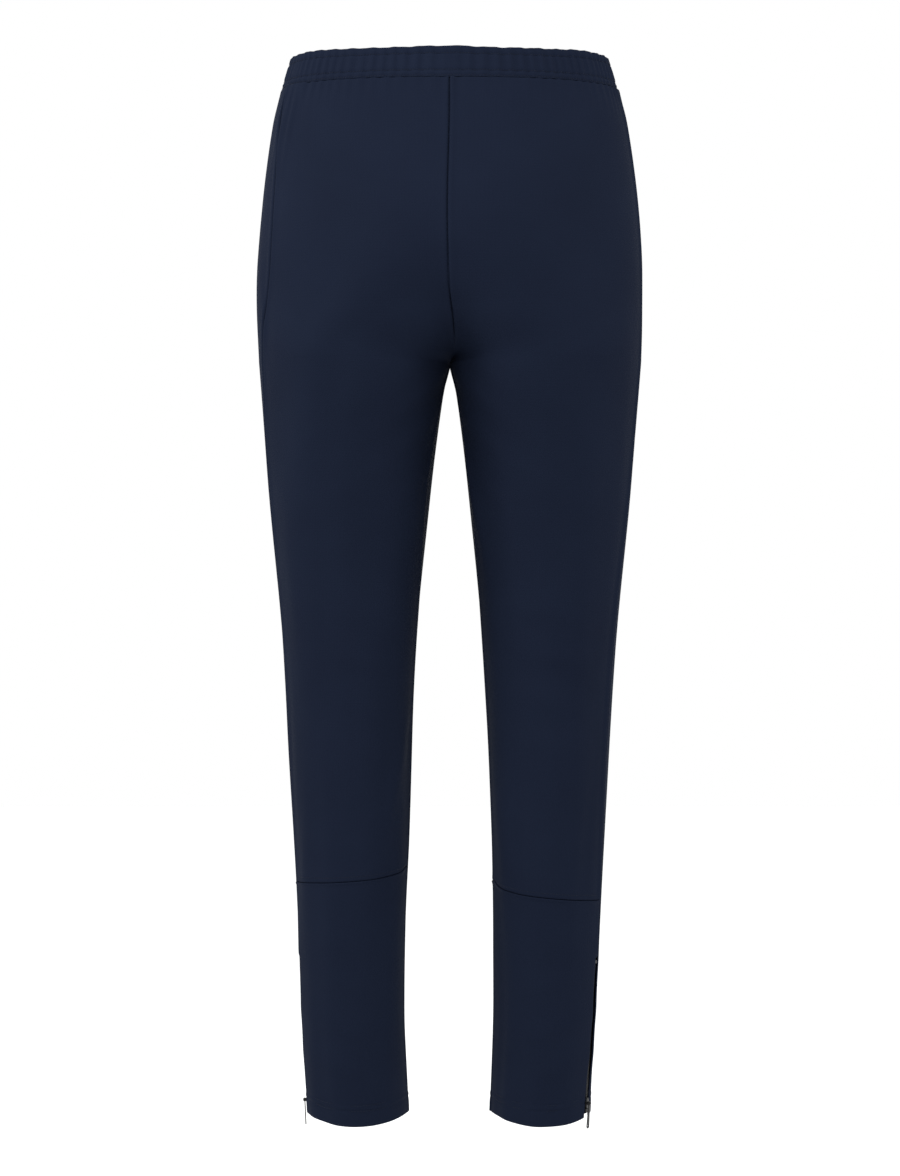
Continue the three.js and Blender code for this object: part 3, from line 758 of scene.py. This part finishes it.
elastic_seam = math.radians(289.3)
turns = 620
band_mesh = bmesh.new()
bmesh.ops.create_grid(band_mesh, x_segments=turns, y_segments=len(across_band) - 1, size=0.5)
places = {}
for vert in band_mesh.verts:
    turn = (vert.co.x + 0.5) * 2 * math.pi
    row = round((vert.co.y + 0.5) * (len(across_band) - 1))
    depth, height = across_band[row]
    places[vert] = (turn * metres_per_radian, row * 0.0016)
    pucker = gather(turn, height) * (1 if depth < leaf_gap / 2 else -0.6)
    pucker -= sum(0.0009 * bump(height, line_height, 0.0009) for line_height in band_rows)
    seam_off = -0.0009 * bump(((turn + math.pi) % (2 * math.pi) - math.pi) * 0.1, 0, 0.0008)
    seam_off -= 0.0008 * bump((turn - elastic_seam) * metres_per_radian, 0, 0.0007)
    top = min(1, max(0, 1 - height / band_height))
    vert.co = on_band(turn, height, depth - pucker - (seam_off if depth < 0.001 else 0))
    vert.co.z += band_wave(turn) * top
lay_flat(band_mesh, places)
bmesh.ops.remove_doubles(band_mesh, verts=band_mesh.verts, dist=1e-5)
bmesh.ops.recalc_face_normals(band_mesh, faces=band_mesh.faces)
waistband = object_from("waistband_cloth", band_mesh, navy_knit)
finish_cloth(waistband, Vector((0, -3, -0.015)))
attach(waistband, "root")
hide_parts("waistband")


# ---------------------------------------------------------------- stitching
# Navy thread of the cloth's own shade: short rounded stitches that sit in their groove.
# Rows run round the band, beside the calf seams and round each hem.
thread, thread_tree, thread_shader = new_material("navy_thread")
thread_coords = add_node(thread_tree, "ShaderNodeTexCoord", {}).outputs["Object"]
twist = add_node(thread_tree, "ShaderNodeTexWave", {
    "Vector": thread_coords, "Scale": 900.0, "Distortion": 1.0}, bands_direction="DIAGONAL")
twisted = add_node(thread_tree, "ShaderNodeBump", {
    "Strength": 0.4, "Distance": 0.0001, "Height": twist.outputs["Fac"]})
thread_tint = add_node(thread_tree, "ShaderNodeMix", {
    "Factor": twist.outputs["Fac"], 6: linear("#0E121D"), 7: linear("#161C2B")},
    data_type="RGBA")
feed(thread_shader, {
    "Base Color": thread_tint.outputs[2], "Normal": twisted.outputs["Normal"], "Roughness": 0.65,
    "Specular IOR Level": 0.15})


def stitch_row(bm, path, closed, pitch=0.0028, length=0.0021, width=0.00042):
    """Stitches laid along a polyline of (point, outward normal) pairs, one every pitch."""
    travelled, wanted = 0.0, pitch * 0.5
    pairs = list(zip(path, path[1:] + (path[:1] if closed else [])))
    if not closed:
        pairs = pairs[:-1] + [(path[-2], path[-1])] if len(path) > 1 else []
    for (start, normal), (end, _) in pairs:
        step = (end - start).length
        while step > 0 and wanted <= travelled + step:
            centre = start.lerp(end, (wanted - travelled) / step)
            along = (end - start).normalized()
            across = along.cross(normal).normalized()
            basis = Matrix((along * (length / 2), across * (width / 2),
                            along.cross(across) * (width / 2))).transposed().to_4x4()
            bmesh.ops.create_icosphere(
                bm, subdivisions=1, radius=1, matrix=Matrix.Translation(centre) @ basis)
            wanted += pitch
        travelled += step


def stitches(name, rows, **sizes):
    bm = bmesh.new()
    for path, closed in rows:
        stitch_row(bm, path, closed, **sizes)
    made = object_from(name, bm, thread)
    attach(made, "root")


def band_stitch(height):
    path = []
    for i in range(900):
        turn = 2 * math.pi * i / 900
        point = on_band(turn, height, -gather(turn, height) + 0.00022)
        point.z += band_wave(turn) * (1 - height / band_height)
        path.append((point, (point - on_band(turn, height, 0.01)).normalized()))
    return path, True


stitches("band_stitches", [band_stitch(height) for height in band_rows])

for side, word in ((-1, "left"), (1, "right")):
    rows = []
    zip_half = slot_width / 2 + 0.0012
    for height in hem_rows:
        path = []
        seam = side_seam(side, hem_drop - height)
        edge = zip_half * radians_per_metre(side, seam, hem_drop - height)
        first, last = seam + edge, seam - edge + 2 * math.pi
        for i in range(331):
            angle = first + (last - first) * i / 330
            drop = hem_drop - height + max(0, math.sin(angle)) ** 2 * heel_dip * (
                1 - height / 0.2)
            normal = outward(side, angle, drop)
            path.append((form(side, angle, drop) + normal * (
                drape(side, angle, drop) - 0.00008), normal))
        rows.append((path, False))
    seam_path = []
    for i in range(120):
        across = 0.02 + 0.94 * i / 119
        drop = calf_seam(side, across) - 0.0045
        start, end = inseam(drop), side_seam(side, drop)
        angle = start + (end - start) * across
        normal = outward(side, angle, drop)
        seam_path.append((form(side, angle, drop) + normal * (
            drape(side, angle, drop) + 0.00025), normal))
    rows.append((seam_path, False))
    stitches(f"hem_stitches_{word}", rows)


# ---------------------------------------------------------------- zips
# Black woven tape, moulded nylon coil, and dark lacquered zinc for the stops, slider and pull.
tape_material, tape_tree, tape_shader = new_material("black_woven_tape")
tape_coords = add_node(tape_tree, "ShaderNodeTexCoord", {}).outputs["Object"]
rib_wave = add_node(tape_tree, "ShaderNodeTexWave", {
    "Vector": tape_coords, "Scale": 700.0, "Distortion": 0.6, "Detail": 1.0},
    bands_direction="Z")
cross_wave = add_node(tape_tree, "ShaderNodeTexWave", {
    "Vector": tape_coords, "Scale": 900.0}, bands_direction="DIAGONAL")
woven = add_node(tape_tree, "ShaderNodeMath", {
    0: rib_wave.outputs["Fac"], 1: cross_wave.outputs["Fac"]}, operation="MULTIPLY")
tape_bump = add_node(tape_tree, "ShaderNodeBump", {
    "Strength": 0.5, "Distance": 0.0002, "Height": woven.outputs[0]})
tape_tint = add_node(tape_tree, "ShaderNodeMix", {
    "Factor": woven.outputs[0], 6: linear("#040506"), 7: linear("#0C0D11")}, data_type="RGBA")
feed(tape_shader, {
    "Base Color": tape_tint.outputs[2], "Normal": tape_bump.outputs["Normal"], "Roughness": 0.75,
    "Specular IOR Level": 0.15})

coil_material, coil_tree, coil_shader = new_material("black_nylon_coil")
coil_coords = add_node(coil_tree, "ShaderNodeTexCoord", {}).outputs["Object"]
scuff = add_node(coil_tree, "ShaderNodeTexNoise", {
    "Vector": coil_coords, "Scale": 240.0, "Detail": 3.0})
coil_tint = add_node(coil_tree, "ShaderNodeMix", {
    "Factor": scuff.outputs["Fac"], 6: linear("#07080A"), 7: linear("#101216")},
    data_type="RGBA")
coil_rough = add_node(coil_tree, "ShaderNodeMapRange", {
    "Value": scuff.outputs["Fac"], "To Min": 0.28, "To Max": 0.5})
feed(coil_shader, {
    "Base Color": coil_tint.outputs[2], "Roughness": coil_rough.outputs["Result"]})

metal, metal_tree, metal_shader = new_material("dark_lacquered_zinc")
metal_coords = add_node(metal_tree, "ShaderNodeTexCoord", {}).outputs["Object"]
mottle = add_node(metal_tree, "ShaderNodeTexNoise", {
    "Vector": metal_coords, "Scale": 420.0, "Detail": 4.0})
metal_tint = add_node(metal_tree, "ShaderNodeMix", {
    "Factor": mottle.outputs["Fac"], 6: linear("#07080A"), 7: linear("#131417")},
    data_type="RGBA")
metal_rough = add_node(metal_tree, "ShaderNodeMapRange", {
    "Value": mottle.outputs["Fac"], "To Min": 0.36, "To Max": 0.56})
dents = add_node(metal_tree, "ShaderNodeBump", {
    "Strength": 0.15, "Distance": 0.0001, "Height": mottle.outputs["Fac"]})
feed(metal_shader, {
    "Base Color": metal_tint.outputs[2], "Roughness": metal_rough.outputs["Result"],
    "Normal": dents.outputs["Normal"], "Metallic": 0.6})

# Levels in a zip's frame, counted outwards from the face of the cloth.
tape_face = -0.0024
coil_base, coil_top = tape_face + 0.0003, tape_face + 0.0016
plate_under = coil_top + 0.0003
plate_top = plate_under + 0.0009
back_plate = tape_face - 0.0006 - 0.0003
axle_level = plate_top + 0.0018
slider_half_length = 0.005


def bevelled(bm, geom, width, segments=2):
    bmesh.ops.bevel(bm, geom=geom, offset=width, affect="EDGES", segments=segments,
                    profile=0.5, material=-1)


def block(bm, low, high, bevel=0.0):
    """A box between two corners, its edges rounded."""
    low, high = Vector(low), Vector(high)
    made = bmesh.ops.create_cube(bm, size=1)["verts"]
    bmesh.ops.scale(bm, vec=high - low, verts=made)
    bmesh.ops.translate(bm, vec=(low + high) / 2, verts=made)
    if bevel:
        bevelled(bm, list({e for v in made for e in v.link_edges}), bevel)


def plate(bm, outline, low, high, bevel):
    """A flat outline in x and z, given a thickness along y and rounded edges."""
    half = len(outline)
    made = bmesh.ops.create_circle(bm, segments=half, radius=1, cap_ends=True)["verts"]
    for vert, (x, z) in zip(made, outline):
        vert.co = Vector((x, low, z))
    face = made[0].link_faces[0]
    side_wall = bmesh.ops.extrude_face_region(bm, geom=[face])["geom"]
    raised = [v for v in side_wall if isinstance(v, bmesh.types.BMVert)]
    bmesh.ops.translate(bm, vec=(0, high - low, 0), verts=raised)
    rim = [e for v in set(made) | set(raised) for e in v.link_edges]
    edges = [e for e in set(rim) if abs(e.verts[0].co.y - e.verts[1].co.y) < 1e-7]
    bevelled(bm, edges, bevel)


def tooth(bm, hand, height):
    """One turn of the coil: a rounded link that reaches over the middle to its neighbour."""
    inner, outer = -0.00035 * hand, 0.0022 * hand
    low, high = coil_base, coil_top
    for x0, x1, y0, y1 in ((inner, outer, high - 0.0005, high),
                           (inner, outer, low, low + 0.0004),
                           (inner, inner + hand * 0.0006, low, high)):
        block(bm, (min(x0, x1), y0, height - 0.00028), (max(x0, x1), y1, height + 0.00028))


def slider_piece(name, lead, rest, matrix):
    """The slider: two plates with a post between them, a bridge for the pull and its pin."""
    bm = bmesh.new()
    half, end = 0.0035, slider_half_length
    outline = [(half - 0.0012, -end), (half, 0.0025 - end), (half - 0.0002, 0),
               (half - 0.0006, end - 0.0015), (half - 0.0018, end)]
    outline += [(-x, z) for x, z in reversed(outline)]
    plate(bm, outline, plate_under, plate_top, 0.00022)
    plate(bm, outline, back_plate - 0.0009, back_plate, 0.00022)
    block(bm, (-0.0004, back_plate - 0.0003, 0.001 - end),
          (0.0004, plate_top - 0.0002, 0.004 - end))
    for hand in (-1, 1):
        near, far = hand * 0.0018, hand * 0.0026
        block(bm, (min(near, far), plate_top - 0.0002, -0.0012),
              (max(near, far), axle_level + 0.0009, 0.0012), 0.0002)
    bmesh.ops.create_cone(bm, segments=16, radius1=0.0007, radius2=0.0007, depth=0.0046,
                          cap_ends=True, matrix=Matrix.Translation((0, axle_level, 0))
                          @ Matrix.Rotation(math.pi / 2, 4, "Y"))
    turned = Matrix.Rotation(0 if lead < 0 else math.pi, 4, "Y")
    bmesh.ops.transform(bm, matrix=matrix @ Matrix.Translation((0, 0, rest)) @ turned,
                        verts=bm.verts)
    bmesh.ops.recalc_face_normals(bm, faces=bm.faces)
    return object_from(name + "_cast", bm, metal)


def ring(bm, centre, axis, spoke, outline, segments):
    """A closed outline of (radius, height) pairs, set along the spoke and spun round the axis."""
    made = bmesh.ops.create_circle(bm, segments=len(outline), radius=1)["verts"]
    for vert, (radius, height) in zip(made, outline):
        vert.co = centre + spoke * radius + axis * height
    edges = list(dict.fromkeys(edge for vert in made for edge in vert.link_edges))
    bmesh.ops.spin(bm, geom=made + edges, cent=centre, axis=axis, angle=2 * math.pi,
                   steps=segments, use_merge=True)


def pull_piece(name, rest, matrix):
    """The pull: a flat tongue with a ring eye at the pin and a round, pierced end."""
    bm = bmesh.new()
    neck, broad, length = 0.0015, 0.0028, 0.024
    end = length - broad
    across, through = Vector((1, 0, 0)), Vector((0, 1, 0))
    hole, half, chamfer = broad - 0.0013, 0.0005, 0.0002
    flat = half - chamfer
    ring(bm, Vector((0, 0, -end)), through, across, (
        (broad - chamfer, -half), (broad, -flat), (broad, flat), (broad - chamfer, half),
        (hole + chamfer, half), (hole, flat), (hole, -flat), (hole + chamfer, -half)), 26)
    tongue = [(neck, -0.0019), (neck, -0.0032), (broad - 0.0001, -end + 0.0008),
              (1.9 * broad / 3, -end + 0.0017)]
    tongue += [(-x, z) for x, z in reversed(tongue)]
    plate(bm, tongue, -half, half, 0.00018)
    flat = neck - chamfer
    ring(bm, Vector((0, 0, 0)), across, through, (
        (0.00155, -neck), (0.0017, -flat), (0.0017, flat), (0.00155, neck),
        (0.00105, neck), (0.001, flat), (0.001, -flat), (0.00105, -neck)), 18)
    bmesh.ops.transform(bm, matrix=matrix @ Matrix.Translation((0, axle_level, rest)),
                        verts=bm.verts)
    bmesh.ops.recalc_face_normals(bm, faces=bm.faces)
    return object_from(name + "_cast", bm, metal)


def dress(node, material):
    """Gives a CAD node its finish."""
    piece = bpy.data.objects[node]
    piece.data.materials.clear()
    piece.data.materials.append(material)


stop_from_end, stop_length = 0.003, 0.003
tooth_pitch = 0.0015
near_end = stop_from_end + stop_length + 0.0005
for name, zip_line, lead in (
        ("ankle_zip_left", ankle_lines[-1], -1), ("ankle_zip_right", ankle_lines[1], -1),
        ("pocket_zip_left", pocket_lines[-1], 1), ("pocket_zip_right", pocket_lines[1], 1)):
    closed_end = 0 if lead < 0 else zip_line.length
    rest = closed_end - lead * (near_end + slider_half_length)
    low = stop_from_end + stop_length + 0.0003
    high = zip_line.length - stop_from_end - stop_length - 0.0003
    for place, hand in (("front", zip_line.side), ("rear", -zip_line.side)):
        bm = bmesh.new()
        shift = 0.0 if place == "front" else tooth_pitch / 2
        height = low + 0.0005 + shift
        while height < high:
            tooth(bm, hand, height)
            height += tooth_pitch
        bmesh.ops.transform(bm, matrix=zip_line.matrix, verts=bm.verts)
        bmesh.ops.recalc_face_normals(bm, faces=bm.faces)
        coil_piece = object_from(f"{name}_teeth_{place}", bm, coil_material)
        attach(coil_piece, "root")
        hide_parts(f"{name}_coil_{place}")
        dress(f"{name}_tape_{place}", tape_material)
        dress(f"{name}_stop_{place}", metal)
    dress(f"{name}_stop_bar", metal)
    slider = slider_piece(f"{name}_slider", lead, rest, zip_line.matrix)
    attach(slider, f"{name}_slider")
    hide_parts(f"{name}_slider")
    pull = pull_piece(f"{name}_pull", rest, zip_line.matrix)
    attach(pull, f"{name}_pull")
    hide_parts(f"{name}_pull")


# ---------------------------------------------------------------- inside the garment
# Pocket bags of fine mesh behind the front panels, the woven elastic in the band, two cord
# eyelets at the front, and a blank satin label at the back.
lining = knit_material("navy_pocket_mesh", "#0E121C", "#131824", 0.0011)
bag_behind, bag_forward, bag_top, bag_long, bag_depth = 0.014, 0.092, 0.092, 0.185, 0.0033
for side, word in ((-1, "left"), (1, "right")):
    columns, rows = 44, 60
    bm = bmesh.new()
    bmesh.ops.create_grid(bm, x_segments=columns, y_segments=rows, size=0.5)
    places = {}
    angle = math.pi + pocket_forward
    for vert in bm.verts:
        forward = -bag_behind + (vert.co.x + 0.5) * (bag_behind + bag_forward)
        down = 0.5 - vert.co.y
        drop = bag_top + down * bag_long
        hollow = 0.0046 * min(1, max(0, (9.5 - abs(forward) * 1000) / 4))
        slack = 0.0008 * noise.noise(Vector((forward * 60, down * 6, side)))
        turned = angle + forward * radians_per_metre(side, angle, drop)
        normal = outward(side, turned, drop)
        rim = min(down, 1 - down, (vert.co.x + 0.5), 0.5 - vert.co.x)
        vert.co = form(side, turned, drop) - normal * (
            bag_depth + hollow + 0.0006 + slack * min(1, rim * 12))
        places[vert] = (forward, drop)
    lay_flat(bm, places)
    bag = object_from(f"pocket_bag_{word}_cloth", bm, lining)
    thicken(bag, 0.0005, rounded=True)
    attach(bag, "root")
    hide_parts(f"pocket_bag_{word}")

# Elastic: woven lengthwise ribs with a fine cross weave, drawn as one closed ribbon.
webbing, webbing_tree, webbing_shader = new_material("woven_elastic")
webbing_map = add_node(webbing_tree, "ShaderNodeUVMap", {}, uv_map="cloth").outputs["UV"]
ribs = add_node(webbing_tree, "ShaderNodeTexWave", {
    "Vector": webbing_map, "Scale": 130.0}, bands_direction="Y", wave_profile="SIN")
weft = add_node(webbing_tree, "ShaderNodeTexWave", {
    "Vector": webbing_map, "Scale": 420.0, "Distortion": 0.8}, bands_direction="X")
weave = add_node(webbing_tree, "ShaderNodeMath", {
    0: weft.outputs["Fac"], 1: 0.35, 2: ribs.outputs["Fac"]}, operation="MULTIPLY_ADD")
webbing_bump = add_node(webbing_tree, "ShaderNodeBump", {
    "Strength": 0.6, "Distance": 0.0004, "Height": weave.outputs[0]})
webbing_tint = add_node(webbing_tree, "ShaderNodeMix", {
    "Factor": ribs.outputs["Fac"], 6: linear("#191B20"), 7: linear("#32353C")},
    data_type="RGBA")
feed(webbing_shader, {
    "Base Color": webbing_tint.outputs[2], "Normal": webbing_bump.outputs["Normal"],
    "Roughness": 0.8})
bm = bmesh.new()
bmesh.ops.create_grid(bm, x_segments=300, y_segments=8, size=0.5)
places = {}
for vert in bm.verts:
    turn = (vert.co.x + 0.5) * 2 * math.pi
    height = 0.003 + 0.024 * (vert.co.y + 0.5)
    places[vert] = (turn * metres_per_radian, height)
    vert.co = on_band(turn, height, 0.0023)
lay_flat(bm, places)
bmesh.ops.remove_doubles(bm, verts=bm.verts, dist=1e-5)
elastic = object_from("waist_elastic_webbing", bm, webbing)
thicken(elastic, 0.0013)
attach(elastic, "root")
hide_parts("waist_elastic")

# The label: blank satin, a little bowed away from the band.
satin, satin_tree, satin_shader = new_material("blank_white_satin")
satin_map = add_node(satin_tree, "ShaderNodeUVMap", {}, uv_map="cloth").outputs["UV"]
satin_lines = add_node(satin_tree, "ShaderNodeTexWave", {
    "Vector": satin_map, "Scale": 900.0, "Distortion": 0.4}, bands_direction="Y")
satin_bump = add_node(satin_tree, "ShaderNodeBump", {
    "Strength": 0.3, "Distance": 0.0001, "Height": satin_lines.outputs["Fac"]})
satin_tint = add_node(satin_tree, "ShaderNodeMix", {
    "Factor": satin_lines.outputs["Fac"], 6: linear("#CFD1D4"), 7: linear("#E4E5E7")},
    data_type="RGBA")
feed(satin_shader, {
    "Base Color": satin_tint.outputs[2], "Normal": satin_bump.outputs["Normal"],
    "Roughness": 0.35, "Sheen Weight": 0.3})
bm = bmesh.new()
bmesh.ops.create_grid(bm, x_segments=24, y_segments=16, size=0.5)
places = {}
label_height, label_reach = 0.022, 0.034 / 0.153
for vert in bm.verts:
    down = 0.5 - vert.co.y
    places[vert] = (vert.co.x * 0.050, down * label_height)
    bow = 0.0007 * math.sin(math.pi * down) * math.cos(math.pi * vert.co.x)
    vert.co = on_band(vert.co.x * label_reach, band_height - label_height - 0.002
                      + down * label_height, 0.0056 + 0.0006 + bow)
lay_flat(bm, places)
label = object_from("care_label_satin", bm, satin)
thicken(label, 0.0004)
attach(label, "root")
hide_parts("care_label")

dress("cord_eyelet_left", metal)
dress("cord_eyelet_right", metal)
